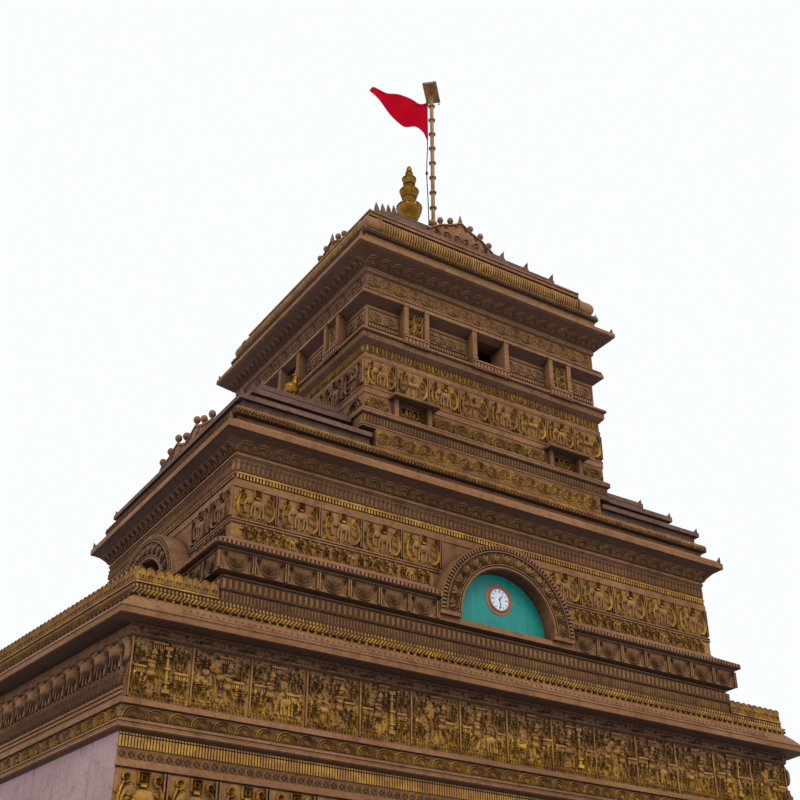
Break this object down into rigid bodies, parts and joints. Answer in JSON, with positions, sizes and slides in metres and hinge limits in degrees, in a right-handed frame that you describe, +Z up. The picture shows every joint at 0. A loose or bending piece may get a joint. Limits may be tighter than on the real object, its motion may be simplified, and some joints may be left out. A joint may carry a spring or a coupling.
{
  "type": "hindu temple",
  "caption": "Stepped temple of three carved storeys with deep eaves, arch niches, a gold finial and a flag on a tall pole.",
  "frame": {"origin": "on the ground, at the middle of the building's plan", "axes": "+Z up, -Y out of the carved front with the doorway, +X to the right of someone who faces the front"},
  "size_m": [22.1838, 9.34, 35.18],
  "materials": {
    "carved_stone": "painted carved stone and render, brown, with gold on the raised parts, dusty",
    "dark_stone": "weathered roof and floor render, dark brown grey",
    "plaster": "plain painted plaster, pinkish grey, streaked",
    "gilded_relief": "carved leaf parapet with gold paint over brown",
    "gold": "bright gold plated metal, softly polished",
    "pole_metal": "brown gold painted steel",
    "teal_panel": "teal green painted panel",
    "clock_face": "white dial in a brown ring",
    "flag_cloth": "crimson cotton flag cloth",
    "rope": "weathered twisted rope"
  },
  "bodies": {
    "root": {"ground_floor": "dark_stone", "front_wall_left": "carved_stone", "front_wall_right": "carved_stone", "front_wall_over_door": "carved_stone", "door_frame": "carved_stone", "right_wall": "plaster", "back_wall": "carved_stone", "left_wall": "plaster", "ground_eave": "carved_stone", "terrace_slab": "dark_stone", "left_parapet": "gilded_relief", "right_parapet": "gilded_relief", "middle_wall_front": "carved_stone", "arch_hood_front": "carved_stone", "arch_panel_front": "teal_panel", "middle_wall_right": "carved_stone", "arch_hood_right": "carved_stone", "arch_tracery_right": "carved_stone", "middle_wall_back": "carved_stone", "arch_hood_back": "carved_stone", "arch_panel_back": "teal_panel", "middle_wall_left": "carved_stone", "arch_hood_left": "carved_stone", "arch_tracery_left": "carved_stone", "clock": "clock_face", "middle_eave": "carved_stone", "middle_roof_slab": "dark_stone", "top_wall_front": "carved_stone", "top_wall_right": "carved_stone", "top_wall_back": "carved_stone", "top_wall_left": "carved_stone", "top_eave": "carved_stone", "left_roof_steps": "dark_stone", "right_roof_steps": "dark_stone", "crown_roof": "carved_stone", "crown_steps": "dark_stone", "finial_pedestal": "carved_stone", "finial": "gold", "flagpole": "pole_metal", "pole_board": "pole_metal", "halyard": "rope", "flag": "flag_cloth", "top_crest_front": "carved_stone", "top_crest_right": "carved_stone", "top_crest_back": "carved_stone", "top_crest_left": "carved_stone", "middle_crest_right": "carved_stone", "middle_crest_left": "carved_stone", "gold_bird": "gold"}
  },
  "joints": []
}
